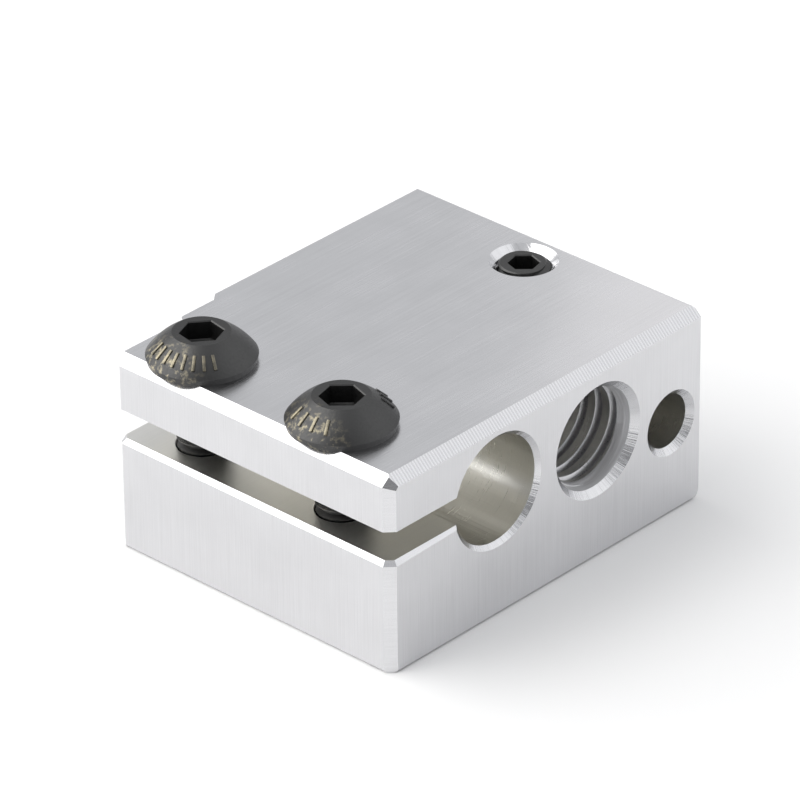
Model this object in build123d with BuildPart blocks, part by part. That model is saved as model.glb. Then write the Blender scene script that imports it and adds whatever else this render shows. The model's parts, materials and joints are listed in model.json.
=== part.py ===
from build123d import *

import os
from math import cos, radians

# Clamp-type heater block of a hotend, with its two clamp screws and its sensor set screw.
#
# A milled aluminium block with three parallel bores along Y: a split bore for the heater cartridge,
# an M6 thread for the nozzle and heat break, and a small bore for the sensor cartridge.
# Origin: centre of the block's bottom face. +X runs along the row of bores from the clamp end,
# +Y runs into the bores from the nozzle face, +Z is up, towards the screw heads. Millimetres.
# Threads are plain cylinders at the thread's major diameter.

# ---- driving dimensions: block ----
block_length = 24.0         # X, along the row of bores
block_depth = 20.0          # Y, the length of every bore
block_height = 11.5         # Z
top_chamfer = 0.55          # on the two top edges of the clamp end and the nozzle face
corner_chamfer = 0.5        # upright edge where those two faces meet
corner_flat_across = 0.17   # small flat at the top of that edge: how far it runs past the corner
corner_flat_down = 0.2      # chamfer along the nozzle face, and how far down the corner chamfer
far_end_top_radius = 0.25   # long edges of the far end
far_end_bottom_radius = 0.6
edge_break = 0.12           # bottom edges of the clamp end and the nozzle face
rear_edge_chamfer = 0.2     # upright rear edge of the clamp end

# ---- driving dimensions: bores, measured from the clamp end and from the bottom ----
heater_from_end = 8.15
heater_height = 7.35
heater_radius = 3.05        # 6 mm cartridge
heater_countersink = 0.25
heater_rear_countersink = 0.55  # deeper, so that it still breaks the edge at the rear relief
nozzle_from_end = 15.9
nozzle_height = 6.95
nozzle_radius = 3.0         # M6, major
nozzle_countersink = 0.3
sensor_from_end = 21.7
sensor_height = 5.5
sensor_radius = 1.55        # 3 mm cartridge
sensor_countersink = 0.35

# ---- driving dimensions: clamp slit and rear relief ----
slit_height = 7.45          # middle of the slit
slit_width = 1.8
slit_chamfer = 0.25         # on the lower lip of the slit
relief_depth = 0.75         # the clamp end is this much shallower than the rest
relief_step_depth = 0.4     # first, shallow step of the relief
relief_end = 5.0            # distance of each step from the clamp end
relief_step_end = 7.6
relief_ramp = 0.5           # length of the slope up to the full depth
relief_round = 0.3

# ---- driving dimensions: M3 fasteners ----
thread_radius = 1.5         # tapped holes, major
shank_radius = 1.45
clearance_radius = 1.6      # hole through the upper jaw
screw_length = 10.0         # under the head
head_radius = 2.95          # M3 button head
head_height = 1.65
head_rim = 0.35             # height of the widest line of the head
head_base_radius = 2.87
head_flat_radius = 1.55
head_key = 2.05             # hexagon across flats
head_key_depth = 1.1
dome_bulge = 0.1            # how far the dome rises above its chord
tip_chamfer = 0.35
clamp_screw_from_end = 2.7
clamp_screw_places = {"front": 5.77, "rear": 15.68}   # distance from the nozzle face
clamp_screw_turns = {"front": 13, "rear": 20}         # degrees from +X to a corner of the socket
tap_exit_chamfer = 0.3

set_screw_length = 4.0
set_screw_sunk = 0.13       # its top lies this far below the block's top
set_screw_from_front = 10.4
set_screw_key = 1.5
set_screw_turn = 13         # degrees from +X to a corner of the socket
set_screw_key_depth = 1.4
set_screw_mouth_radius = 1.89
set_screw_top_chamfer = 0.2
cup_radius = 0.7
cup_depth = 0.35

# ---- worked out ----
half_length = block_length / 2
half_depth = block_depth / 2
heater_x = heater_from_end - half_length
nozzle_x = nozzle_from_end - half_length
sensor_x = sensor_from_end - half_length
clamp_screw_x = clamp_screw_from_end - half_length
set_screw_y = set_screw_from_front - half_depth
slit_floor = slit_height - slit_width / 2
slit_roof = slit_height + slit_width / 2
near = 0.01                 # tolerance when picking an edge by its place

nozzle_face = Plane(origin=(0, -half_depth, 0), x_dir=(1, 0, 0), z_dir=(0, -1, 0))
rear_face = Plane(origin=(0, half_depth, 0), x_dir=(-1, 0, 0), z_dir=(0, 1, 0))
top_face = Plane.XY.offset(block_height)


def edges_at(part, along, **place):
    """The straight edges of part that run along an axis and lie at the given places."""
    edges = part.edges().filter_by(along)
    for name, value in place.items():
        edges = edges.filter_by(lambda edge: abs(getattr(edge.center(), name) - value) < near)
    return edges


def hexagon_radius(across_flats):
    """Corner radius of a hexagon of the given width across flats."""
    return across_flats / 2 / cos(radians(30))


def finish(part, node):
    """Label one piece and write it as its own STEP file."""
    part.label = node
    export_step(part, f"parts/{node}.step")


os.makedirs("parts", exist_ok=True)

# ---- heater block ----
with BuildPart() as block:
    Box(block_length, block_depth, block_height, align=(Align.CENTER, Align.CENTER, Align.MIN))

    # rear relief of the clamp end: a slope, a shallow step, and a deeper step with a round corner
    with BuildSketch() as relief:
        with BuildLine():
            Polyline(
                (relief_step_end + relief_ramp - half_length, half_depth),
                (relief_step_end - half_length, half_depth - relief_step_depth),
                (relief_end - half_length, half_depth - relief_step_depth),
                (relief_end - half_length, half_depth - relief_depth),
                (-half_length, half_depth - relief_depth),
                (-half_length, half_depth),
                close=True,
            )
        make_face()
        round_corner = relief.vertices().sort_by_distance(
            (relief_end - half_length, half_depth - relief_step_depth)
        )[0]
        fillet(round_corner, radius=relief_round)
    extrude(amount=block_height, mode=Mode.SUBTRACT)

    # outer edges
    chamfer(edges_at(block.part, Axis.X, Y=-half_depth, Z=block_height), length=top_chamfer)
    chamfer(edges_at(block.part, Axis.X, Y=-half_depth, Z=0), length=edge_break)
    fillet(edges_at(block.part, Axis.Y, X=half_length, Z=block_height), radius=far_end_top_radius)
    fillet(edges_at(block.part, Axis.Y, X=half_length, Z=0), radius=far_end_bottom_radius)
    chamfer(
        edges_at(block.part, Axis.Z, X=-half_length, Y=half_depth - relief_depth),
        length=rear_edge_chamfer,
    )
    chamfer(edges_at(block.part, Axis.Z, X=-half_length, Y=-half_depth), length=corner_chamfer)
    chamfer(edges_at(block.part, Axis.Y, X=-half_length, Z=block_height), length=top_chamfer)
    chamfer(edges_at(block.part, Axis.Y, X=-half_length, Z=0), length=edge_break)

    # small flat where the three chamfers of the near top corner meet
    chamfer_foot = block_height - top_chamfer
    on_clamp_end = Vector(-half_length, corner_chamfer - half_depth, chamfer_foot)
    on_nozzle_face = Vector(corner_chamfer + corner_flat_across - half_length, -half_depth, chamfer_foot)
    on_corner = Vector(corner_chamfer - half_length, -half_depth, chamfer_foot - corner_flat_down)
    inward = (on_nozzle_face - on_clamp_end).cross(on_corner - on_clamp_end)
    split(bisect_by=Plane(origin=on_clamp_end, z_dir=inward), keep=Keep.TOP)

    # slit of the clamp, from the clamp end into the heater bore
    with BuildSketch(nozzle_face):
        with Locations((-half_length, slit_height)):
            Rectangle(heater_from_end, slit_width, align=(Align.MIN, Align.CENTER))
    extrude(amount=-block_depth, mode=Mode.SUBTRACT)
    floor_edges = block.edges().filter_by_position(Axis.Z, slit_floor - near, slit_floor + near)
    lip_edges = floor_edges.filter_by(
        lambda edge: edge.center().X < corner_chamfer - half_length
        or edge.center().Y < corner_chamfer - half_depth
    )
    chamfer(lip_edges, length=slit_chamfer)

    # the three bores, countersunk at both faces
    for place, radius, front_sink, rear_sink in (
        ((heater_x, heater_height), heater_radius, heater_countersink, heater_rear_countersink),
        ((nozzle_x, nozzle_height), nozzle_radius, nozzle_countersink, nozzle_countersink),
        ((sensor_x, sensor_height), sensor_radius, sensor_countersink, sensor_countersink),
    ):
        across, height = place
        with Locations(nozzle_face):
            with Locations((across, height)):
                CounterSinkHole(radius, radius + front_sink, counter_sink_angle=90)
        with Locations(rear_face):
            with Locations((-across, height)):
                CounterSinkHole(radius, radius + rear_sink, block_depth / 2, counter_sink_angle=90)

    # clamp screw holes: clear through the upper jaw, tapped through the lower one
    for distance in clamp_screw_places.values():
        with Locations(top_face):
            with Locations((clamp_screw_x, distance - half_depth)):
                Hole(clearance_radius, depth=block_height - slit_height)
        with Locations(Plane.XY.rotated((180, 0, 0))):
            with Locations((clamp_screw_x, half_depth - distance)):
                CounterSinkHole(
                    thread_radius, thread_radius + tap_exit_chamfer, slit_height, counter_sink_angle=90
                )

    # set screw hole, tapped from the top into the sensor bore
    with Locations(top_face):
        with Locations((sensor_x, set_screw_y)):
            CounterSinkHole(
                thread_radius, set_screw_mouth_radius, block_height - sensor_height, counter_sink_angle=90
            )
finish(block.part, "heater_block")

# ---- clamp screws: M3 button heads, seated on the top face ----
for position, distance in clamp_screw_places.items():
    screw_y = distance - half_depth
    with BuildPart() as clamp_screw:
        with BuildSketch(Plane.XZ.offset(-screw_y)):
            with BuildLine():
                outline = Polyline(
                    (clamp_screw_x, block_height + head_height),
                    (clamp_screw_x, block_height - screw_length),
                    (clamp_screw_x + shank_radius - tip_chamfer, block_height - screw_length),
                    (clamp_screw_x + shank_radius, block_height - screw_length + tip_chamfer),
                    (clamp_screw_x + shank_radius, block_height),
                    (clamp_screw_x + head_base_radius, block_height),
                    (clamp_screw_x + head_radius, block_height + head_rim),
                )
                dome = SagittaArc(
                    outline @ 1,
                    (clamp_screw_x + head_flat_radius, block_height + head_height),
                    -dome_bulge,
                )
                Line(dome @ 1, outline @ 0)
            make_face()
        revolve(axis=Axis((clamp_screw_x, screw_y, 0), (0, 0, 1)))
        with BuildSketch(top_face.offset(head_height)):
            with Locations((clamp_screw_x, screw_y)):
                RegularPolygon(hexagon_radius(head_key), 6, rotation=clamp_screw_turns[position])
        extrude(amount=-head_key_depth, mode=Mode.SUBTRACT)
    finish(clamp_screw.part, f"clamp_screw_{position}")

# ---- sensor set screw: M3, flat hexagon-socket head end down the hole, cup point at the sensor ----
set_screw_top = block_height - set_screw_sunk
set_screw_tip = set_screw_top - set_screw_length
with BuildPart() as set_screw:
    with BuildSketch(Plane.XZ.offset(-set_screw_y)):
        with BuildLine():
            Polyline(
                (sensor_x, set_screw_top),
                (sensor_x, set_screw_tip + cup_depth),
                (sensor_x + cup_radius, set_screw_tip),
                (sensor_x + shank_radius - tip_chamfer, set_screw_tip),
                (sensor_x + shank_radius, set_screw_tip + tip_chamfer),
                (sensor_x + shank_radius, set_screw_top - set_screw_top_chamfer),
                (sensor_x + shank_radius - set_screw_top_chamfer, set_screw_top),
                close=True,
            )
        make_face()
    revolve(axis=Axis((sensor_x, set_screw_y, 0), (0, 0, 1)))
    with BuildSketch(Plane.XY.offset(set_screw_top)):
        with Locations((sensor_x, set_screw_y)):
            RegularPolygon(hexagon_radius(set_screw_key), 6, rotation=set_screw_turn)
    extrude(amount=-set_screw_key_depth, mode=Mode.SUBTRACT)
finish(set_screw.part, "sensor_set_screw")
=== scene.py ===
import json
import math

import bmesh
import bpy
from bpy.props import FloatProperty, FloatVectorProperty, PointerProperty
from mathutils import Matrix, Vector


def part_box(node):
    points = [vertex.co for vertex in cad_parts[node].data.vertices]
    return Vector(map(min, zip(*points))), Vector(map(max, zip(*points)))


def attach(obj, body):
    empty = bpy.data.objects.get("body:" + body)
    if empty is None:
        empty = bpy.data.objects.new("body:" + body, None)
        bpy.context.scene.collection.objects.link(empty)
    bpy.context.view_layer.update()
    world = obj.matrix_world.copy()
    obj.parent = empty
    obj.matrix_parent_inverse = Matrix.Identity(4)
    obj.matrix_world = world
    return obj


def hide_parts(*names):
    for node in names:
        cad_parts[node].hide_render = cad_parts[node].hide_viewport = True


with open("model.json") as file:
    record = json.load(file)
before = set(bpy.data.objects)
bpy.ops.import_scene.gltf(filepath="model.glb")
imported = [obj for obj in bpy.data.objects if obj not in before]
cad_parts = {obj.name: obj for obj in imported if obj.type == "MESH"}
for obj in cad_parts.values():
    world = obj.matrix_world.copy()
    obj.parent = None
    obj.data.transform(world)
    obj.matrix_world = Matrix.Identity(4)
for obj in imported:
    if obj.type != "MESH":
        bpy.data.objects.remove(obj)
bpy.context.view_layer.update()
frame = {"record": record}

bl_info = {
    "name": "Hotend heater block",
    "version": (1, 0, 0),
    "blender": (4, 5, 0),
    "location": "3D View > Sidebar > Heater block",
    "description": "Milled heater block with a clamp slit, three bores and three socket screws",
    "category": "Mesh",
}

MM = 0.001
BLOCK_LOW, BLOCK_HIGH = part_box("heater_block")
MOUNTS = {mount["name"]: mount for mount in frame["record"]["mounts"]}
BORES = ("heater_bore", "nozzle_thread", "sensor_bore")
CLAMP_SCREWS = {"clamp_screw_front": "front_clamp_screw", "clamp_screw_rear": "rear_clamp_screw"}

# Distances within which points and edges count as the same.
NEAR = MM / 1e3             # edges that lie along a line or on a plane
MERGED = MM / 1e4           # points that a cut or a spin left side by side
SLIVER = MM / 1e5           # edges too short to keep
ON_PLANE = MM / 1e6         # points on a cutting plane

# Cutters and threads.
BEYOND = 1.0 * MM           # how far a cutter runs past the face that it cuts
TAP_OVERLAP = 0.03 * MM     # how much smaller than its hole a tap's core is
THREAD_END = 0.05 * MM      # how far a tap stops short of its hole's inner end
THREAD_FLANK = math.radians(30)     # slope of a 60 degree thread's flanks
THREAD_CREST = 1 / 8        # flat on a thread's crest, as a share of its pitch
THREAD_DEPTH = 0.54         # depth of a screw's thread, as a share of its pitch
THREAD_LEAD = 1.507         # turns before a rod's end: an odd share, so that no point lies on the end's plane
BLANK_EXTRA = 0.01 * MM     # how much thicker than its crests a shank is before its thread is cut
SOCKET_LIP = 0.06 * MM      # worn lip round a socket, and the break at its bottom
SOCKET_CONE = 0.25 * MM     # depth of the drill point under a socket
SOCKET_FLOOR = 0.9          # how far a socket's flat bottom reaches, as a share of its corners
DOME_STEPS = 16             # facets from the rim of a head to its crown
SHARP_ANGLE = math.radians(25)      # edges that turn by more than this stay sharp

# Ticks on the screw heads: the first angle, the last and the number of each group, in degrees from +X.
FRONT_TICKS = ((150, 205, 4), (-42, -16, 3))
REAR_TICKS = ((150, 240, 8),)
TICK_SEAT = 0.9             # height of a tick's middle over the dome's chord, as a share of the dome's bulge
TICK_ROUND = 0.4            # rounding of a tick's edges, as a share of its height

# Finishes.
NOISE_RANGE = {"From Min": 0.3, "From Max": 0.7}    # where nearly all of a noise texture's values lie
WAVE_PERIOD = math.tau / 20     # scale at which a wave texture repeats once for each unit
BORE_MM = 3.0               # radius of the circle on which marks round a bore are measured
CLOUD_SIZE = 3.0 * MM       # faint stains and handling marks on the aluminium
CLOUD_SHARE = 0.35          # how much of a finish's variation they make, next to the tool marks
ROUGHNESS_SPREAD = 0.15     # how far roughness varies both ways, as a share
MOTTLE_SIZE = 0.35 * MM     # patches where the oxide is thin, lighter as wear and as painted glints
GRIT_SIZE = 0.12 * MM       # the fine pitting of the oxide, drawn as coarse as it needs to show
GRIT_DEPTH = 0.008 * MM
HEAD_REACH = 3 * MM         # distance from a screw's axis at which its worn side, with its painted glints, counts as fully reached
BOARD_CLOUD = 40 * MM       # uneven paint on the floor

# Stage.
FLOOR_GAP = 0.01 * MM       # the floor lies this far below the block, so that their faces don't coincide
GLOSSY_BOUNCES = 12         # enough for light to find its way into the bores and the slit
DARK_EDGE = math.radians(3)     # width of the soft edge round the dark opening


# ---- sizes and colours that a user would change ----

def length(name, default, description):
    """A length property with its default in millimetres."""
    return FloatProperty(name=name, description=description, default=default * MM, min=0.0, unit="LENGTH")


def turn(name, default, description):
    """An angle property with its default in degrees."""
    return FloatProperty(name=name, description=description, default=math.radians(default), subtype="ANGLE")


def colour(name, default, description):
    """A colour property with its default as an sRGB hex value."""
    return FloatVectorProperty(
        name=name, description=description, default=linear(default), size=3, min=0.0, max=1.0, subtype="COLOR"
    )


def linear(hex_value):
    """sRGB hex value to linear red, green and blue."""
    channels = [(hex_value >> shift & 0xFF) / 255 for shift in (16, 8, 0)]
    return [c / 12.92 if c <= 0.04045 else ((c + 0.055) / 1.055) ** 2.4 for c in channels]


class BlockSizes(bpy.types.PropertyGroup):
    """Edges, slit, relief and bore mouths of the aluminium block."""

    top_chamfer: length("Top chamfer", 0.55, "Chamfer on the top edges of the clamp end and nozzle face")
    corner_chamfer: length("Corner chamfer", 0.5, "Chamfer on the upright corner between those faces")
    corner_flat_across: length("Corner flat across", 0.17, "How far the corner's flat runs along the face")
    corner_flat_down: length("Corner flat down", 0.2, "How far the corner's flat runs down the chamfer")
    far_top_radius: length("Far end top radius", 0.25, "Radius on the top edge of the far end")
    far_bottom_radius: length("Far end bottom radius", 0.6, "Radius on the bottom edge of the far end")
    edge_break: length("Edge break", 0.12, "Small chamfer on the bottom edges")
    rear_chamfer: length("Rear chamfer", 0.2, "Chamfer on the upright rear corner of the clamp end")
    slit_height: length("Slit height", 7.45, "Height of the middle of the clamp slit")
    slit_width: length("Slit width", 1.8, "Width of the clamp slit")
    slit_chamfer: length("Slit chamfer", 0.25, "Chamfer on the lower lip of the slit")
    relief_depth: length("Relief depth", 0.75, "Depth of the deep step at the rear of the clamp end")
    relief_step: length("Relief step", 0.4, "Depth of the shallow step of the relief")
    relief_end: length("Relief end", 5.0, "Distance of the deep step's end from the clamp end")
    relief_step_end: length("Step end", 7.6, "Distance of the shallow step's end from the clamp end")
    relief_ramp: length("Relief ramp", 0.5, "Length of the slope that ends the relief")
    relief_round: length("Relief round", 0.3, "Radius of the corner between the two steps")
    heater_sink: length("Heater countersink", 0.25, "Countersink of the heater bore at the nozzle face")
    heater_rear_sink: length("Rear countersink", 0.55, "Countersink of the heater bore at the rear")
    nozzle_sink: length("Nozzle countersink", 0.3, "Countersink of the nozzle thread, past its major radius")
    nozzle_lead_radius: length("Lead-in radius", 2.92, "Radius where the countersink meets the rough lead-in")
    nozzle_lead_depth: length("Lead-in depth", 1.1, "Depth at which the lead-in reaches the thread's crests")
    sensor_sink: length("Sensor countersink", 0.35, "Countersink of the sensor bore")
    nozzle_pitch: length("Nozzle pitch", 1.0, "Pitch of the M6 thread")
    nozzle_crest: length("Nozzle crest radius", 2.68, "Radius to the crests of the M6 thread")
    clearance_radius: length("Clearance radius", 1.6, "Hole of the clamp screws through the upper jaw")
    tapped_crest: length("Tapped crest radius", 1.47, "Radius to the crests of the three M3 threads")
    tapped_root: length("Tapped root radius", 1.62, "Radius to the roots of the three M3 threads")
    tapped_pitch: length("Tapped pitch", 0.5, "Pitch of the three M3 threads")
    tap_chamfer: length("Tap exit chamfer", 0.3, "Countersink where the clamp screw holes leave the bottom")
    mouth_radius: length("Set screw mouth", 1.89, "Radius of the set screw hole at the top face")


class ScrewSizes(bpy.types.PropertyGroup):
    """The M3 button-head clamp screws and the M3 set screw."""

    pitch: length("Pitch", 0.5, "Pitch of the M3 thread")
    shank_radius: length("Shank radius", 1.45, "Radius over the crests of the screw threads")
    head_height: length("Head height", 1.65, "Height of the button head")
    head_rim: length("Rim height", 0.35, "Height of the widest line of the head")
    head_base: length("Base radius", 2.87, "Radius of the head where it meets the block")
    head_flat: length("Flat radius", 1.55, "Radius of the flat rim round the socket")
    dome_bulge: length("Dome bulge", 0.1, "Rise of the dome above its chord")
    key: length("Clamp screw key", 2.05, "Width across the flats of the clamp screws' sockets")
    key_depth: length("Key depth", 1.1, "Depth of the clamp screws' sockets")
    tip_chamfer: length("Tip chamfer", 0.35, "Chamfer at the end of each screw")
    set_key: length("Set screw key", 1.5, "Width across the flats of the set screw's socket")
    set_key_depth: length("Set screw key depth", 1.4, "Depth of the set screw's socket")
    set_top_chamfer: length("Set screw top chamfer", 0.2, "Chamfer at the top of the set screw")
    cup_radius: length("Cup radius", 0.7, "Radius of the cup point")
    cup_depth: length("Cup depth", 0.35, "Depth of the cup point")
    front_turn: turn("Front socket turn", 13, "Angle from +X to a corner of the front clamp screw's socket")
    rear_turn: turn("Rear socket turn", 20, "Angle from +X to a corner of the rear clamp screw's socket")
    set_turn: turn("Set screw socket turn", 13, "Angle from +X to a corner of the set screw's socket")
    tick_place: FloatProperty(
        name="Tick place", description="Where the ticks lie, from the head's rim to its crown", default=0.47,
        subtype="FACTOR",
    )
    tick_length: length("Tick length", 0.85, "Length of the raised ticks on the heads")
    tick_width: length("Tick width", 0.17, "Width of the raised ticks on the heads")
    tick_height: length("Tick height", 0.08, "Height of the raised ticks above the dome")


class Finishes(bpy.types.PropertyGroup):
    """Colours of the finishes."""

    aluminium: colour("Aluminium", 0xE0E0E2, "Colour of the bare aluminium")
    # painted light: the bores and the slit take this aluminium, lighter than the bare faces to brighten those
    # recesses, and a little warmer
    bore_aluminium: colour("Bored aluminium", 0xE9E8E4, "Colour inside the bores, a little dulled by oil")
    black_oxide: colour("Black oxide", 0x505050, "Colour of the blackened steel")
    # bronze wear, which also stands in for glints: painted highlights on and beside the raised ticks
    worn_oxide_and_glint: colour("Worn oxide", 0xB4AB92, "Colour where the oxide is rubbed thin")
    floor: colour("Floor", 0xFAFAFA, "Colour of the studio floor")


class StageSizes(bpy.types.PropertyGroup):
    """The camera, the floor and the lights."""

    azimuth: FloatProperty(
        name="Azimuth", description="Compass direction that the camera looks in, from +Y towards +X",
        default=math.radians(46.912), subtype="ANGLE",
    )
    elevation: FloatProperty(
        name="Elevation", description="Height of the camera above the horizon",
        default=math.radians(29.962), subtype="ANGLE",
    )
    roll: FloatProperty(
        name="Roll", description="Turn of the camera about its line of sight",
        default=math.radians(-0.619), subtype="ANGLE",
    )
    distance: length("Distance", 340.519, "Distance from the camera to its target")
    across: FloatProperty(
        name="Across", description="How far the target lies to the right of the block's middle",
        default=-0.3036 * MM, unit="LENGTH",
    )
    above: FloatProperty(
        name="Above", description="How far the target lies above the block's middle, as the camera sees it",
        default=1.2852 * MM, unit="LENGTH",
    )
    lens: FloatProperty(name="Lens", description="Focal length in millimetres", default=291.9)
    floor_size: length("Floor size", 3000.0, "Side of the square floor")
    world_light: FloatProperty(name="World light", description="Strength of the even light", default=0.7)
    key_light: FloatProperty(name="Key light", description="Brightness of the soft box behind", default=2.0)
    fill_light: FloatProperty(
        name="Fill light", description="Brightness of the soft box at the side", default=0.42
    )
    card_light: FloatProperty(
        name="Card light", description="Brightness of the card near the far end", default=0.35
    )
    dark_angle: FloatProperty(
        name="Dark opening", description="Half angle of the dark opening that the camera looks through",
        default=math.radians(23), subtype="ANGLE",
    )
    dark_level: FloatProperty(
        name="Dark level", description="Light from the dark opening, as a share of the even light",
        default=0.34, subtype="FACTOR",
    )


# ---- modelling ----

def turned(name, bands, centre, axis, finishes, sides=128):
    """A closed shape turned about an axis.

    Each band runs between two (radius, height) points and has the number of its finish. Six sides make a
    hexagonal key instead of a round shape.
    """
    bm = bmesh.new()
    aim = Vector((0, 0, 1)).rotation_difference(Vector(axis)).to_matrix().to_4x4()
    place = Matrix.Translation(centre) @ aim
    for start, end, finish in bands:
        ends = [bm.verts.new((radius, 0, height)) for radius, height in (start, end)]
        edge = bm.edges.new(ends)
        before = len(bm.faces)
        bmesh.ops.spin(
            bm, geom=ends + [edge], cent=(0, 0, 0), axis=(0, 0, 1),
            angle=math.tau, steps=sides, use_merge=True,
        )
        bm.faces.ensure_lookup_table()
        for face in bm.faces[before:]:
            face.material_index = finish
    bmesh.ops.remove_doubles(bm, verts=bm.verts, dist=MERGED)
    bmesh.ops.dissolve_degenerate(bm, edges=bm.edges, dist=SLIVER)
    bmesh.ops.recalc_face_normals(bm, faces=bm.faces)
    bmesh.ops.transform(bm, matrix=place, verts=bm.verts)
    return as_object(bm, name, finishes)


def threaded_rod(name, crest, root, pitch, low, high, centre, axis, finish, sides=72):
    """A rod with a right-hand 60 degree thread, from low to high along an axis, with flat ends."""
    bm = bmesh.new()
    flank = (crest - root) * math.tan(THREAD_FLANK)
    crest_flat = pitch * THREAD_CREST
    heights = (0, crest_flat, crest_flat + flank, pitch - flank, pitch)
    radii = (crest, crest, root, root, crest)
    start = low - THREAD_LEAD * pitch
    profile = [bm.verts.new((radius, 0, start + height)) for radius, height in zip(radii, heights)]
    edges = [bm.edges.new(pair) for pair in zip(profile, profile[1:])]
    bmesh.ops.spin(
        bm, geom=profile + edges, cent=(0, 0, 0), axis=(0, 0, 1), dvec=(0, 0, pitch / sides),
        angle=math.tau, steps=sides, use_merge=False,
    )
    turns = 1
    while start + turns * pitch < high + pitch:
        above = bmesh.ops.duplicate(bm, geom=bm.verts[:] + bm.edges[:] + bm.faces[:])
        raised = [item for item in above["geom"] if isinstance(item, bmesh.types.BMVert)]
        bmesh.ops.translate(bm, vec=(0, 0, turns * pitch), verts=raised)
        turns *= 2
    bmesh.ops.remove_doubles(bm, verts=bm.verts, dist=NEAR)
    for height, side in ((low, -1), (high, 1)):
        plane_cut(bm, (0, 0, height), (0, 0, side), 0)
    bmesh.ops.recalc_face_normals(bm, faces=bm.faces)
    aim = Vector((0, 0, 1)).rotation_difference(Vector(axis)).to_matrix().to_4x4()
    bmesh.ops.transform(bm, matrix=Matrix.Translation(centre) @ aim, verts=bm.verts)
    return as_object(bm, name, [finish])


def as_object(bm, name, finishes):
    """Turn a bmesh into an object at the origin, with these materials."""
    mesh = bpy.data.meshes.new(name)
    bm.to_mesh(mesh)
    bm.free()
    for finish in finishes:
        mesh.materials.append(finish)
    piece = bpy.data.objects.new(name, mesh)
    bpy.context.scene.collection.objects.link(piece)
    return piece


def combine(piece, tool, operation="DIFFERENCE"):
    """Cut a tool shape out of a piece, or join or intersect the two; the new walls keep the tool's finish."""
    modifier = piece.modifiers.new(tool.name, "BOOLEAN")
    modifier.operation = operation
    modifier.solver = "EXACT"
    modifier.material_mode = "TRANSFER"
    modifier.object = tool
    with bpy.context.temp_override(object=piece, active_object=piece):
        bpy.ops.object.modifier_apply(modifier=modifier.name)
    mesh = tool.data
    bpy.data.objects.remove(tool)
    bpy.data.meshes.remove(mesh)


def plane_cut(bm, point, normal, finish):
    """Cut off what lies beyond a plane, as a chamfering cutter does, and close the cut."""
    bmesh.ops.bisect_plane(
        bm, geom=bm.verts[:] + bm.edges[:] + bm.faces[:], dist=ON_PLANE,
        plane_co=point, plane_no=normal, clear_outer=True,
    )
    for face in close_holes(bm):
        face.material_index = finish


def close_holes(bm):
    """Merge the points that coincide, and fill every open loop; returns the new faces."""
    bmesh.ops.remove_doubles(bm, verts=bm.verts, dist=MERGED)
    bmesh.ops.dissolve_degenerate(bm, edges=bm.edges, dist=SLIVER)
    rim = [edge for edge in bm.edges if edge.is_boundary]
    return bmesh.ops.holes_fill(bm, edges=rim)["faces"]


def smooth_curves(piece):
    """Close what the cuts left open, shade the curved walls smooth and keep every corner sharp."""
    bm = bmesh.new()
    bm.from_mesh(piece.data)
    close_holes(bm)
    bmesh.ops.recalc_face_normals(bm, faces=bm.faces)
    bm.to_mesh(piece.data)
    bm.free()
    piece.data.shade_smooth()
    piece.data.set_sharp_from_angle(angle=SHARP_ANGLE)


def settle(piece, body, node):
    """Let a finished piece stand for its CAD node and move with its body."""
    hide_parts(node)
    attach(piece, body)


# ---- materials ----

def add_node(tree, kind, inputs=None, **settings):
    """Add one node; inputs maps a socket to a value or to another node's output."""
    node = tree.nodes.new(kind)
    for name, value in settings.items():
        setattr(node, name, value)
    for socket, value in (inputs or {}).items():
        if isinstance(value, bpy.types.NodeSocket):
            tree.links.new(value, node.inputs[socket])
        else:
            node.inputs[socket].default_value = value
    return node


def new_material(name):
    """A material with only its shader, and the Object coordinates that its patterns read."""
    material = bpy.data.materials.new(name)
    material.use_nodes = True
    tree = material.node_tree
    shader = tree.nodes["Principled BSDF"]
    place = add_node(tree, "ShaderNodeTexCoord").outputs["Object"]
    return material, tree, shader, place


def around_line(tree, place, centre):
    """A point's offset from a line along Y through the centre, and its direction from that line."""
    offset = add_node(
        tree, "ShaderNodeVectorMath", {0: place, 1: centre}, operation="SUBTRACT"
    ).outputs["Vector"]
    flat = add_node(
        tree, "ShaderNodeVectorMath", {0: offset, 1: (1, 0, 1)}, operation="MULTIPLY"
    ).outputs["Vector"]
    around = add_node(tree, "ShaderNodeVectorMath", {0: flat}, operation="NORMALIZE").outputs["Vector"]
    return offset, around


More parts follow.
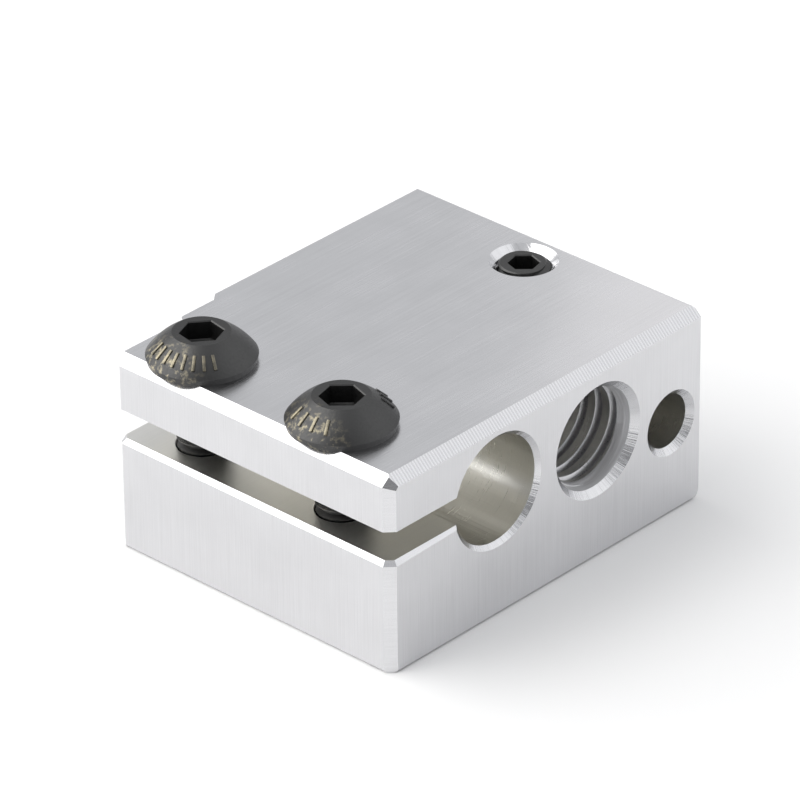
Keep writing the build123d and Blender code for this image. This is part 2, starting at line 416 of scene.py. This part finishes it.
def aluminium(name, roughness, marks, mark_depth, tone=1.0, contrast=0.12, centre=None, base="aluminium",
              chatter=None, ridged=False, metallic=1.0):
    """Bare machined aluminium: bright, slightly cool, with the tool marks that its cutter left.

    marks is the size of one mark in millimetres along X, Y and Z. With a centre, the marks lie round
    that line along Y, and the first size is measured round the circle. chatter is the width and depth,
    in millimetres, of the long flutes that a worn cutter leaves along a bore. ridged makes the marks even
    waves across X, one for each turn of a chamfering cutter. A torn surface is less metallic, because it
    scatters light.
    """
    material, tree, shader, place = new_material(name)
    colour_of_metal = getattr(bpy.context.scene.heater_finishes, base)
    if centre is None:
        along = add_node(
            tree, "ShaderNodeMapping", {"Vector": place, "Scale": [1 / (size * MM) for size in marks]}
        ).outputs["Vector"]
    else:
        offset, around = around_line(tree, place, centre)
        ring = add_node(
            tree, "ShaderNodeVectorMath", {0: around, "Scale": BORE_MM / marks[0]}, operation="SCALE"
        ).outputs["Vector"]
        along = add_node(
            tree, "ShaderNodeVectorMath",
            {0: offset, 1: (0, 1 / (marks[1] * MM), 0), 2: ring}, operation="MULTIPLY_ADD",
        ).outputs["Vector"]
    if ridged:
        lines = add_node(
            tree, "ShaderNodeTexWave",
            {"Vector": along, "Scale": WAVE_PERIOD, "Distortion": 1.2, "Detail": 2.0, "Detail Scale": 3.0},
        ).outputs["Fac"]
    else:
        lines = add_node(
            tree, "ShaderNodeTexNoise", {"Vector": along, "Scale": 1.0, "Detail": 3.0, "Roughness": 0.6}
        ).outputs["Fac"]
    clouds = add_node(
        tree, "ShaderNodeTexNoise", {"Vector": place, "Scale": 1 / CLOUD_SIZE, "Detail": 3.0}
    ).outputs["Fac"]
    both = add_node(
        tree, "ShaderNodeMix", {"Factor": CLOUD_SHARE, 2: lines, 3: clouds}, data_type="FLOAT"
    ).outputs[0]
    shade = add_node(
        tree, "ShaderNodeMapRange",
        {"Value": both, **NOISE_RANGE, "To Min": tone * (1 - contrast), "To Max": tone},
    ).outputs["Result"]
    tint = add_node(
        tree, "ShaderNodeVectorMath", {0: list(colour_of_metal), "Scale": shade}, operation="SCALE"
    ).outputs["Vector"]
    tree.links.new(tint, shader.inputs["Base Color"])
    smoothest = roughness * (1 - ROUGHNESS_SPREAD)
    roughest = roughness * (1 + ROUGHNESS_SPREAD)
    rough = add_node(
        tree, "ShaderNodeMapRange", {"Value": both, **NOISE_RANGE, "To Min": smoothest, "To Max": roughest}
    ).outputs["Result"]
    tree.links.new(rough, shader.inputs["Roughness"])
    bump = add_node(
        tree, "ShaderNodeBump", {"Strength": 1.0, "Distance": mark_depth * MM, "Height": lines}
    ).outputs["Normal"]
    if chatter:
        width, depth = chatter
        round_bore = add_node(
            tree, "ShaderNodeVectorMath", {0: around, "Scale": BORE_MM / width}, operation="SCALE"
        ).outputs["Vector"]
        flutes = add_node(
            tree, "ShaderNodeTexNoise", {"Vector": round_bore, "Scale": 1.0, "Detail": 2.0}
        ).outputs["Fac"]
        bump = add_node(
            tree, "ShaderNodeBump",
            {"Strength": 1.0, "Distance": depth * MM, "Height": flutes, "Normal": bump},
        ).outputs["Normal"]
    tree.links.new(bump, shader.inputs["Normal"])
    shader.inputs["Metallic"].default_value = metallic
    return material


def black_oxide(name, centre, wear_and_glint_towards=(0, 0, -1), rubbed=False):
    """Blackened alloy steel: dark grey with a soft satin sheen, light bronze where the oxide is rubbed thin,
    which also paints in glints.

    The rubbing and its painted glints lie on the side of the screw that the given direction points to, or
    nearly everywhere where it is rubbed.
    """
    material, tree, shader, place = new_material(name)
    finishes = bpy.context.scene.heater_finishes
    # rubbed ticks get the wear and its painted glints nearly all over
    side_from, patches_from = (-0.4, 0.2) if rubbed else (0.35, 0.52)
    side_to, patches_to = 0.8, 0.72
    mottle = add_node(
        tree, "ShaderNodeTexNoise",
        {"Vector": place, "Scale": 1 / MOTTLE_SIZE, "Detail": 6.0, "Roughness": 0.65},
    ).outputs["Fac"]
    grit = add_node(
        tree, "ShaderNodeTexNoise", {"Vector": place, "Scale": 1 / GRIT_SIZE, "Detail": 3.0}
    ).outputs["Fac"]
    offset = add_node(
        tree, "ShaderNodeVectorMath", {0: place, 1: centre}, operation="SUBTRACT"
    ).outputs["Vector"]
    facing = add_node(
        tree, "ShaderNodeVectorMath", {0: offset, 1: Vector(wear_and_glint_towards).normalized() / HEAD_REACH},
        operation="DOT_PRODUCT",
    ).outputs["Value"]
    side = add_node(
        tree, "ShaderNodeMapRange", {"Value": facing, "From Min": side_from, "From Max": side_to}
    ).outputs["Result"]
    patches = add_node(
        tree, "ShaderNodeMapRange", {"Value": mottle, "From Min": patches_from, "From Max": patches_to}
    ).outputs["Result"]
    # worn mixes in the bronze wear, which also paints glints: painted highlights near the ticks
    worn = add_node(tree, "ShaderNodeMath", {0: side, 1: patches}, operation="MULTIPLY").outputs["Value"]
    tint = add_node(tree, "ShaderNodeMix", {0: worn}, data_type="RGBA")
    for socket, value in ((6, finishes.black_oxide), (7, finishes.worn_oxide_and_glint)):
        tint.inputs[socket].default_value = (*value, 1)
    tree.links.new(tint.outputs[2], shader.inputs["Base Color"])
    rough = add_node(
        tree, "ShaderNodeMapRange", {"Value": grit, **NOISE_RANGE, "To Min": 0.36, "To Max": 0.5}
    ).outputs["Result"]
    tree.links.new(rough, shader.inputs["Roughness"])
    bump = add_node(
        tree, "ShaderNodeBump", {"Strength": 1.0, "Distance": GRIT_DEPTH, "Height": grit}
    ).outputs["Normal"]
    tree.links.new(bump, shader.inputs["Normal"])
    shader.inputs["Metallic"].default_value = 1.0
    return material


def studio_floor():
    """Pale matte board, with the faint unevenness of its paint."""
    material, tree, shader, place = new_material("matte_board")
    base = bpy.context.scene.heater_finishes.floor
    clouds = add_node(
        tree, "ShaderNodeTexNoise", {"Vector": place, "Scale": 1 / BOARD_CLOUD, "Detail": 2.0}
    ).outputs["Fac"]
    shade = add_node(
        tree, "ShaderNodeMapRange", {"Value": clouds, "To Min": 0.97, "To Max": 1.0}
    ).outputs["Result"]
    tint = add_node(
        tree, "ShaderNodeVectorMath", {0: list(base), "Scale": shade}, operation="SCALE"
    ).outputs["Vector"]
    tree.links.new(tint, shader.inputs["Base Color"])
    shader.inputs["Roughness"].default_value = 0.9
    return material


# ---- block ----

def block_finishes():
    """The finishes of the block, one for each way that its surfaces were cut; the edge finish is darkened as
    painted shade.
    """
    finishes = {
        "top": aluminium("aluminium_top_milled", 0.25, (6.0, 0.06, 1.0), 0.0006),
        "clamp_end": aluminium("aluminium_end_milled", 0.36, (0.08, 0.08, 5.0), 0.0008),
        "nozzle_face": aluminium("aluminium_side_milled", 0.34, (0.08, 0.08, 5.0), 0.0008),
        "chamfer": aluminium("aluminium_chamfer_cut", 0.2, (3.0, 3.0, 0.1), 0.0006),
        "ridged": aluminium(
            "aluminium_chamfer_ridged", 0.28, (0.2, 8.0, 8.0), 0.012, contrast=0.2, ridged=True
        ),
        # the slit's walls take the lighter bore aluminium: painted light in the slit
        "slit": aluminium(
            "aluminium_slit_sawn", 0.36, (5.0, 0.07, 1.0), 0.003, contrast=0.06, base="bore_aluminium"
        ),
        "thread": aluminium("aluminium_thread_tapped", 0.3, (0.1, 0.1, 0.1), 0.008, tone=0.9),
        "lead_in": aluminium(
            "aluminium_lead_in_torn", 0.35, (4.0, 0.25, 0), 0.05, contrast=0.4,
            centre=MOUNTS["nozzle_thread"]["pos_m"], metallic=0.25,
        ),
        # painted shade: the edge finish is drawn at half tone, for the dark shadow that the bottom edge break
        # mirrors
        "edge": aluminium("aluminium_edge_broken", 0.4, (0.3, 0.3, 0.3), 0.01, tone=0.5),
    }
    for mount in BORES:
        centre = MOUNTS[mount]["pos_m"]
        short = mount.split("_")[0]
        # the bores take the lighter bore aluminium: painted light in the bores
        finishes[f"{short}_bore"] = aluminium(
            f"aluminium_{short}_bored", 0.3, (1.5, 0.08, 0), 0.003, contrast=0.06, centre=centre,
            base="bore_aluminium", chatter=(0.45, 0.03),
        )
        finishes[f"{short}_sink"] = aluminium(
            f"aluminium_{short}_countersunk", 0.2, (0.14, 3.0, 0), 0.03, centre=centre, chatter=(1.5, 0.15)
        )
    return finishes


def block_blank(sizes, finishes):
    """The block's outside: a bar with rounded far edges and chamfers on its other edges."""
    names = list(finishes)
    low, high = BLOCK_LOW, BLOCK_HIGH
    bm = bmesh.new()
    bmesh.ops.create_cube(bm, size=1.0)
    bmesh.ops.scale(bm, vec=high - low, verts=bm.verts)
    bmesh.ops.translate(bm, vec=(low + high) / 2, verts=bm.verts)
    for face in bm.faces:
        if abs(face.normal.z) > 0.5:
            face.material_index = names.index("top")
        elif abs(face.normal.x) > 0.5:
            face.material_index = names.index("clamp_end")
        else:
            face.material_index = names.index("nozzle_face")
    for height, radius in ((high.z, sizes.far_top_radius), (low.z, sizes.far_bottom_radius)):
        far_edge = [
            edge for edge in bm.edges
            if all(abs(v.co.x - high.x) + abs(v.co.z - height) < NEAR for v in edge.verts)
        ]
        bmesh.ops.bevel(
            bm, geom=far_edge, offset=radius, offset_type="OFFSET", segments=12, profile=0.5,
            affect="EDGES", material=-1,
        )
    for corner, normal, size, finish in (
        ((low.x, low.y, high.z), (0, -1, 1), sizes.top_chamfer, "ridged"),
        ((low.x, low.y, high.z), (-1, 0, 1), sizes.top_chamfer, "chamfer"),
        ((low.x, low.y, high.z), (-1, -1, 0), sizes.corner_chamfer, "chamfer"),
        # the nozzle face's bottom edge break takes the half-tone edge finish: painted shade of the shadow
        # under the block
        ((low.x, low.y, low.z), (0, -1, -1), sizes.edge_break, "edge"),
        ((low.x, low.y, low.z), (-1, 0, -1), sizes.edge_break, "chamfer"),
    ):
        outward = Vector(normal).normalized()
        plane_cut(bm, Vector(corner) - outward * size / math.sqrt(2), outward, names.index(finish))
    foot = high.z - sizes.top_chamfer
    on_clamp_end = Vector((low.x, low.y + sizes.corner_chamfer, foot))
    on_nozzle_face = Vector((low.x + sizes.corner_chamfer + sizes.corner_flat_across, low.y, foot))
    on_corner = Vector((low.x + sizes.corner_chamfer, low.y, foot - sizes.corner_flat_down))
    outward = (on_corner - on_clamp_end).cross(on_nozzle_face - on_clamp_end).normalized()
    plane_cut(bm, on_clamp_end, outward, names.index("chamfer"))
    return as_object(bm, "block_body", finishes.values())


def box_tool(name, low, high, finish):
    """A plain box between two corners, for cutting."""
    bm = bmesh.new()
    bmesh.ops.create_cube(bm, size=1.0)
    bmesh.ops.scale(bm, vec=high - low, verts=bm.verts)
    bmesh.ops.translate(bm, vec=(low + high) / 2, verts=bm.verts)
    return as_object(bm, name, [finish])


def relief_tool(sizes, finish):
    """The stepped relief at the rear of the clamp end, with its rounded corner."""
    low, high = BLOCK_LOW, BLOCK_HIGH
    bm = bmesh.new()
    outline = [
        (sizes.relief_step_end + sizes.relief_ramp, 0),
        (sizes.relief_step_end, sizes.relief_step),
        (sizes.relief_end, sizes.relief_step),
        (sizes.relief_end, sizes.relief_depth),
        (-BEYOND, sizes.relief_depth),
        (-BEYOND, -BEYOND),
        (sizes.relief_step_end + sizes.relief_ramp, -BEYOND),
    ]
    points = [bm.verts.new((low.x + along, high.y - deep, low.z - BEYOND)) for along, deep in outline]
    face = bm.faces.new(points)
    raised = bmesh.ops.extrude_face_region(bm, geom=[face])
    moved = [item for item in raised["geom"] if isinstance(item, bmesh.types.BMVert)]
    bmesh.ops.translate(bm, vec=(0, 0, high.z - low.z + 2 * BEYOND), verts=moved)
    bmesh.ops.recalc_face_normals(bm, faces=bm.faces)
    corner = [
        edge for edge in bm.edges
        if all(
            abs(v.co.x - low.x - sizes.relief_end) + abs(high.y - v.co.y - sizes.relief_step) < NEAR
            for v in edge.verts
        )
    ]
    bmesh.ops.bevel(
        bm, geom=corner, offset=sizes.relief_round, offset_type="OFFSET", segments=8, profile=0.5,
        affect="EDGES", material=-1,
    )
    return as_object(bm, "relief", [finish])


def chamfer_rear_corner(piece, sizes, finish):
    """Chamfer the upright rear corner of the clamp end, where the relief leaves it."""
    outward = Vector((-1, 1, 0)).normalized()
    corner = Vector((BLOCK_LOW.x, BLOCK_HIGH.y - sizes.relief_depth, 0))
    bm = bmesh.new()
    bm.from_mesh(piece.data)
    plane_cut(bm, corner - outward * sizes.rear_chamfer / math.sqrt(2), outward, finish)
    bm.to_mesh(piece.data)
    bm.free()


def chamfer_slit_lip(piece, sizes, finish):
    """Chamfer the lower lip of the slit, at the clamp end, the corner and the nozzle face."""
    floor = sizes.slit_height - sizes.slit_width / 2
    inside_x = BLOCK_LOW.x + sizes.corner_chamfer + NEAR
    inside_y = BLOCK_LOW.y + sizes.corner_chamfer + NEAR
    bm = bmesh.new()
    bm.from_mesh(piece.data)
    lip = [
        edge for edge in bm.edges
        if all(abs(v.co.z - floor) < NEAR for v in edge.verts)
        and (all(v.co.x < inside_x for v in edge.verts) or all(v.co.y < inside_y for v in edge.verts))
        and edge.calc_face_angle(0) > SHARP_ANGLE
    ]
    bmesh.ops.bevel(
        bm, geom=lip, offset=sizes.slit_chamfer, offset_type="OFFSET", segments=1, profile=0.5,
        affect="EDGES", material=finish,
    )
    bm.to_mesh(piece.data)
    bm.free()


def bore_tool(mount, radius, mouth_radii, finishes, lead_in=None):
    """A bore right through the block, with a 45 degree countersink at the front and the rear.

    lead_in is the radius at which each countersink gives way to a rough taper, and the taper's depth.
    """
    centre = Vector(MOUNTS[mount]["pos_m"])
    short = mount.split("_")[0]
    cuts = [finishes[f"{short}_bore"], finishes[f"{short}_sink"], finishes["lead_in"]]
    walls = []
    for face, inward, mouth in ((BLOCK_LOW.y, 1, mouth_radii[0]), (BLOCK_HIGH.y, -1, mouth_radii[1])):
        neck, depth = lead_in or (radius, mouth - radius)
        outside = (mouth + BEYOND, face - inward * BEYOND)
        throat = (neck, face + inward * (mouth - neck))
        foot = (radius, face + inward * depth)
        half = [((0, outside[1]), outside, 1), (outside, throat, 1)]
        if lead_in:
            half.append((throat, foot, 2))
        walls.append((half, foot))
    (front, front_foot), (rear, rear_foot) = walls
    bands = [*front, (front_foot, rear_foot, 0), *rear]
    return turned(f"{mount}_tool", bands, centre, (0, 1, 0), cuts)


def upright_hole(name, centre, radius, low, high, finish, low_mouth=0.0, high_mouth=0.0):
    """A hole along Z from low to high; a mouth widens that end by 45 degrees, past the face it cuts."""
    wide_low = radius + low_mouth + BEYOND
    wide_high = radius + high_mouth + BEYOND
    bands = []
    if low_mouth:
        bands.append(((0, low - BEYOND), (wide_low, low - BEYOND), 0))
        bands.append(((wide_low, low - BEYOND), (radius, low + low_mouth), 0))
        start = low + low_mouth
    else:
        bands.append(((0, low), (radius, low), 0))
        start = low
    end = high - high_mouth
    bands.append(((radius, start), (radius, end), 0))
    if high_mouth:
        bands.append(((radius, end), (wide_high, high + BEYOND), 0))
        bands.append(((wide_high, high + BEYOND), (0, high + BEYOND), 0))
    else:
        bands.append(((radius, end), (0, end), 0))
    return turned(name, bands, centre, (0, 0, 1), [finish], sides=96)


class HEATER_OT_block(bpy.types.Operator):
    """Model the aluminium block and give each cut its own finish"""

    bl_idname = "heater.block"
    bl_label = "Heater block"

    def execute(self, context):
        sizes = context.scene.heater_block
        finishes = block_finishes()
        names = list(finishes)
        low, high = BLOCK_LOW, BLOCK_HIGH
        piece = block_blank(sizes, finishes)
        combine(piece, relief_tool(sizes, finishes["nozzle_face"]))
        chamfer_rear_corner(piece, sizes, names.index("chamfer"))
        heater = Vector(MOUNTS["heater_bore"]["pos_m"])
        slit_low = Vector((low.x - BEYOND, low.y - BEYOND, sizes.slit_height - sizes.slit_width / 2))
        slit_high = Vector((heater.x, high.y + BEYOND, sizes.slit_height + sizes.slit_width / 2))
        combine(piece, box_tool("slit", slit_low, slit_high, finishes["slit"]))
        chamfer_slit_lip(piece, sizes, names.index("chamfer"))
        bore, major, small = (MOUNTS[mount]["dims"]["r_mm"] * MM for mount in BORES)
        mouths = (bore + sizes.heater_sink, bore + sizes.heater_rear_sink)
        combine(piece, bore_tool("heater_bore", bore, mouths, finishes))
        mouths = [small + sizes.sensor_sink] * 2
        combine(piece, bore_tool("sensor_bore", small, mouths, finishes))
        mouths = [major + sizes.nozzle_sink] * 2
        lead_in = (sizes.nozzle_lead_radius, sizes.nozzle_lead_depth)
        thread_start = sizes.nozzle_lead_depth - sizes.nozzle_pitch / 3     # it fades out in the lead-in
        combine(piece, bore_tool("nozzle_thread", sizes.nozzle_crest, mouths, finishes, lead_in))
        combine(piece, threaded_rod(
            "nozzle_tap", major, sizes.nozzle_crest - TAP_OVERLAP, sizes.nozzle_pitch,
            low.y + thread_start, high.y - thread_start, MOUNTS["nozzle_thread"]["pos_m"], (0, 1, 0),
            finishes["thread"], sides=96,
        ))
        for node in CLAMP_SCREWS:
            centre = screw_axis(node)
            combine(piece, upright_hole(
                "clear_hole", centre, sizes.clearance_radius, sizes.slit_height, high.z + BEYOND,
                finishes["slit"],
            ))
            self.tapped_hole(
                piece, sizes, centre, low.z, sizes.slit_height, finishes, low_mouth=sizes.tap_chamfer
            )
        sensor = Vector(MOUNTS["sensor_bore"]["pos_m"])
        self.tapped_hole(
            piece, sizes, screw_axis("sensor_set_screw"), sensor.z, high.z, finishes,
            high_mouth=sizes.mouth_radius - sizes.tapped_crest,
        )
        smooth_curves(piece)
        settle(piece, "block", "heater_block")
        return {"FINISHED"}

    def tapped_hole(self, piece, sizes, centre, low, high, finishes, low_mouth=0.0, high_mouth=0.0):
        """Drill one M3 hole along Z and cut its thread, which ends just short of an end without a mouth."""
        combine(piece, upright_hole(
            "tapped_hole", centre, sizes.tapped_crest, low, high, finishes["sensor_sink"],
            low_mouth, high_mouth,
        ))
        tap_low = low - BEYOND if low_mouth else low + THREAD_END
        tap_high = high + BEYOND if high_mouth else high - THREAD_END
        combine(piece, threaded_rod(
            "tap", sizes.tapped_root, sizes.tapped_crest - TAP_OVERLAP, sizes.tapped_pitch,
            tap_low, tap_high, centre, (0, 0, 1), finishes["thread"], sides=48,
        ))


# ---- screws ----

def screw_axis(node):
    """The foot of a screw's upright axis, at the height of the block's bottom."""
    low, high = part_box(node)
    return Vector(((low.x + high.x) / 2, (low.y + high.y) / 2, 0))


def revolved(name, outline, centre, finish, sides=128):
    """A closed outline of (radius, height) points turned about an upright axis."""
    bands = [(start, end, 0) for start, end in zip(outline, outline[1:])]
    return turned(name, bands, centre, (0, 0, 1), [finish], sides)


def cut_thread(piece, sizes, low, high, centre, finish):
    """Cut the M3 thread round a plain shank that is a little thicker than its crests."""
    combine(piece, threaded_rod(
        "die", sizes.shank_radius, sizes.shank_radius - THREAD_DEPTH * sizes.pitch, sizes.pitch,
        low - BEYOND, high + BEYOND, centre, (0, 0, 1), finish, sides=64,
    ), "INTERSECT")


def cut_socket(piece, key, depth, turn, top, centre, finish):
    """Punch a hexagon socket with a tapered bottom and a small worn lip, one corner turned from +X."""
    corner = key / 2 / math.cos(math.pi / 6)
    floor = top - depth
    outline = [
        (0, floor - SOCKET_CONE),
        (corner * SOCKET_FLOOR, floor),
        (corner, floor + SOCKET_LIP),
        (corner, top - SOCKET_LIP),
        (corner + SOCKET_LIP + BEYOND, top + BEYOND),
        (0, top + BEYOND),
    ]
    punch = revolved("punch", outline, (0, 0, 0), finish, sides=6)
    punch.data.transform(Matrix.Translation(centre) @ Matrix.Rotation(turn, 4, "Z"))
    combine(piece, punch)


class HEATER_OT_clamp_screws(bpy.types.Operator):
    """Model the two M3 button-head clamp screws"""

    bl_idname = "heater.clamp_screws"
    bl_label = "Clamp screws"

    def execute(self, context):
        sizes = context.scene.heater_screws
        self.screw(sizes, "clamp_screw_front", sizes.front_turn, FRONT_TICKS)
        self.screw(sizes, "clamp_screw_rear", sizes.rear_turn, REAR_TICKS)
        return {"FINISHED"}

    def screw(self, sizes, node, turn, tick_groups):
        """Turn one screw's head and shank, and add its thread, its ticks and its socket."""
        low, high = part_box(node)
        centre = screw_axis(node)
        ticks = [angle for group in tick_groups for angle in fan(*group)]
        wear_and_glint_angle = math.radians(sum(ticks[:3]) / 3)     # the middle of the first three ticks
        wear_and_glint_side = (math.cos(wear_and_glint_angle), math.sin(wear_and_glint_angle), 0)
        finish = black_oxide(f"steel_black_oxide_{node}", centre, wear_and_glint_side)
        seat = high.z - sizes.head_height
        rim = Vector(((high.x - low.x) / 2, seat + sizes.head_rim))
        crown = Vector((sizes.head_flat, high.z))
        chord = crown - rim
        outward = Vector((chord.y, -chord.x)).normalized()
        dome = []
        for step in range(DOME_STEPS + 1):
            share = step / DOME_STEPS
            rise = sizes.dome_bulge * 4 * share * (1 - share)
            dome.append(tuple(rim + chord * share + outward * rise))
        outline = [(0, seat), (sizes.head_base, seat), *dome, (0, high.z)]
        piece = revolved(f"{node}_body", outline, centre, finish)
        # the ticks take a lighter oxide: rubbed bare metal, and painted glints on the raised marks
        rubbed = black_oxide(f"steel_rubbed_{node}", centre, wear_and_glint_side, rubbed=True)
        self.add_ticks(piece, sizes, rim, chord, outward, ticks, centre, rubbed)
        blank = sizes.shank_radius + BLANK_EXTRA
        outline = [
            (0, rim.y),
            (blank, rim.y),
            (blank, low.z + sizes.tip_chamfer),
            (blank - sizes.tip_chamfer, low.z),
            (0, low.z),
        ]
        shank = revolved("shank", outline, centre, finish)
        cut_thread(shank, sizes, low.z, rim.y, centre, finish)
        combine(piece, shank, "UNION")
        cut_socket(piece, sizes.key, sizes.key_depth, turn, high.z, centre, finish)
        smooth_curves(piece)
        settle(piece, CLAMP_SCREWS[node], node)

    def add_ticks(self, piece, sizes, rim, chord, outward, ticks, centre, finish):
        """Raise plain radial ticks on the dome, at these angles in degrees from +X."""
        slope = math.atan2(chord.y, -chord.x)
        place = rim + chord * sizes.tick_place + outward * sizes.dome_bulge * TICK_SEAT
        bm = bmesh.new()
        for angle in ticks:
            made = bmesh.ops.create_cube(bm, size=1.0)["verts"]
            bmesh.ops.scale(bm, vec=(sizes.tick_length, sizes.tick_width, 2 * sizes.tick_height), verts=made)
            on_dome = Matrix.Translation((place.x, 0, place.y)) @ Matrix.Rotation(slope, 4, "Y")
            turn = Matrix.Translation(centre) @ Matrix.Rotation(math.radians(angle), 4, "Z")
            bmesh.ops.transform(bm, matrix=turn @ on_dome, verts=made)
        bmesh.ops.bevel(
            bm, geom=bm.edges[:], offset=sizes.tick_height * TICK_ROUND, offset_type="OFFSET", segments=2,
            profile=0.5, affect="EDGES", material=-1,
        )
        combine(piece, as_object(bm, "ticks", [finish]), "UNION")


def fan(first, last, count):
    """Evenly spaced angles from the first to the last."""
    return [first + (last - first) * step / (count - 1) for step in range(count)]


class HEATER_OT_set_screw(bpy.types.Operator):
    """Model the M3 set screw that holds the sensor cartridge"""

    bl_idname = "heater.set_screw"
    bl_label = "Set screw"

    def execute(self, context):
        sizes = context.scene.heater_screws
        node = "sensor_set_screw"
        low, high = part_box(node)
        centre = screw_axis(node)
        finish = black_oxide(f"steel_black_oxide_{node}", centre)
        blank = sizes.shank_radius + BLANK_EXTRA
        outline = [
            (0, high.z),
            (blank - sizes.set_top_chamfer, high.z),
            (blank, high.z - sizes.set_top_chamfer),
            (blank, low.z + sizes.tip_chamfer),
            (blank - sizes.tip_chamfer, low.z),
            (sizes.cup_radius, low.z),
            (0, low.z + sizes.cup_depth),
        ]
        piece = revolved(f"{node}_body", outline, centre, finish)
        cut_thread(piece, sizes, low.z, high.z, centre, finish)
        cut_socket(piece, sizes.set_key, sizes.set_key_depth, sizes.set_turn, high.z, centre, finish)
        smooth_curves(piece)
        settle(piece, "set_screw", node)
        return {"FINISHED"}


# ---- stage ----

def soft_light(name, direction, distance, size, strength, tint=(1, 1, 1)):
    """A square soft light in a direction from the block, aimed at it; strength is its brightness."""
    data = bpy.data.lights.new(name, "AREA")
    data.shape = "SQUARE"
    data.size = size
    data.energy = strength * math.pi * size * size
    data.color = tint
    light = bpy.data.objects.new(name, data)
    away = Vector(direction).normalized()
    light.location = (BLOCK_LOW + BLOCK_HIGH) / 2 + away * distance
    light.rotation_euler = away.to_track_quat("Z", "Y").to_euler()
    bpy.context.scene.collection.objects.link(light)
    return light


def studio_world(sizes, opening):
    """Even light all round, but for a dark round opening in one direction, as a studio has for its camera."""
    world = bpy.data.worlds.new("studio")
    world.use_nodes = True
    tree = world.node_tree
    direction = add_node(tree, "ShaderNodeTexCoord").outputs["Generated"]
    facing = add_node(
        tree, "ShaderNodeVectorMath", {0: direction, 1: opening}, operation="DOT_PRODUCT"
    ).outputs["Value"]
    light = add_node(
        tree, "ShaderNodeMapRange",
        {
            "Value": facing,
            "From Min": math.cos(sizes.dark_angle + DARK_EDGE), "From Max": math.cos(sizes.dark_angle),
            "To Min": sizes.world_light, "To Max": sizes.world_light * sizes.dark_level,
        },
    ).outputs["Result"]
    background = tree.nodes["Background"]
    background.inputs["Color"].default_value = (0.97, 0.98, 1.0, 1)
    tree.links.new(light, background.inputs["Strength"])
    return world


class HEATER_OT_stage(bpy.types.Operator):
    """Add the camera, the pale floor and the soft lights"""

    bl_idname = "heater.stage"
    bl_label = "Studio stage"

    def execute(self, context):
        sizes = context.scene.heater_stage
        scene = context.scene
        forward = Vector((
            math.cos(sizes.elevation) * math.sin(sizes.azimuth),
            math.cos(sizes.elevation) * math.cos(sizes.azimuth),
            -math.sin(sizes.elevation),
        ))
        right = forward.cross(Vector((0, 0, 1))).normalized()
        up = right.cross(forward)
        middle = (BLOCK_LOW + BLOCK_HIGH) / 2
        target = middle + right * sizes.across + up * sizes.above
        data = bpy.data.cameras.new("camera")
        data.lens = sizes.lens
        data.sensor_width = 36.0
        data.clip_start = 10 * MM
        data.clip_end = 10.0
        camera = bpy.data.objects.new("camera", data)
        rolled_right = right * math.cos(sizes.roll) + up * math.sin(sizes.roll)
        rolled_up = up * math.cos(sizes.roll) - right * math.sin(sizes.roll)
        turn = Matrix((rolled_right, rolled_up, -forward)).transposed()
        camera.matrix_world = Matrix.Translation(target - forward * sizes.distance) @ turn.to_4x4()
        scene.collection.objects.link(camera)
        scene.camera = camera

        bm = bmesh.new()
        bmesh.ops.create_grid(bm, x_segments=4, y_segments=4, size=sizes.floor_size / 2)
        bmesh.ops.translate(bm, vec=(0, 0, -FLOOR_GAP), verts=bm.verts)
        floor = as_object(bm, "floor", [studio_floor()])

        soft_light(
            "key_light", (-0.5, 0.59, 0.63), distance=0.45, size=0.6, strength=sizes.key_light,
            tint=(1.0, 0.985, 0.96),
        )
        soft_light("fill_light", (0.63, -0.5, 0.59), distance=0.45, size=0.5, strength=sizes.fill_light)
        card = soft_light(
            "card_light", (0.8, 0.32, 0.505), distance=0.087, size=0.034, strength=sizes.card_light,
            tint=(1.0, 0.96, 0.94),
        )
        card.visible_camera = False
        scene.world = studio_world(sizes, -forward)
        scene.cycles.glossy_bounces = GLOSSY_BOUNCES
        scene.view_settings.view_transform = "Standard"
        return {"FINISHED"}


# ---- add-on ----

class HEATER_PT_panel(bpy.types.Panel):
    """Lists the pieces and the stage"""

    bl_idname = "HEATER_PT_panel"
    bl_label = "Heater block"
    bl_space_type = "VIEW_3D"
    bl_region_type = "UI"
    bl_category = "Heater block"

    def draw(self, context):
        for operator in OPERATORS:
            self.layout.operator(operator.bl_idname)
        for group in GROUPS:
            settings = getattr(context.scene, group)
            for name in settings.bl_rna.properties.keys():
                if name not in {"rna_type", "name"}:
                    self.layout.prop(settings, name)


OPERATORS = (HEATER_OT_block, HEATER_OT_clamp_screws, HEATER_OT_set_screw, HEATER_OT_stage)
GROUPS = {
    "heater_block": BlockSizes,
    "heater_screws": ScrewSizes,
    "heater_finishes": Finishes,
    "heater_stage": StageSizes,
}


def register():
    for group, kind in GROUPS.items():
        bpy.utils.register_class(kind)
        setattr(bpy.types.Scene, group, PointerProperty(type=kind))
    for kind in (*OPERATORS, HEATER_PT_panel):
        bpy.utils.register_class(kind)


def unregister():
    for kind in (*OPERATORS, HEATER_PT_panel):
        bpy.utils.unregister_class(kind)
    for group, kind in GROUPS.items():
        delattr(bpy.types.Scene, group)
        bpy.utils.unregister_class(kind)


def main():
    register()
    bpy.ops.heater.block()
    bpy.ops.heater.clamp_screws()
    bpy.ops.heater.set_screw()
    bpy.ops.heater.stage()


if __name__ == "__main__":
    main()
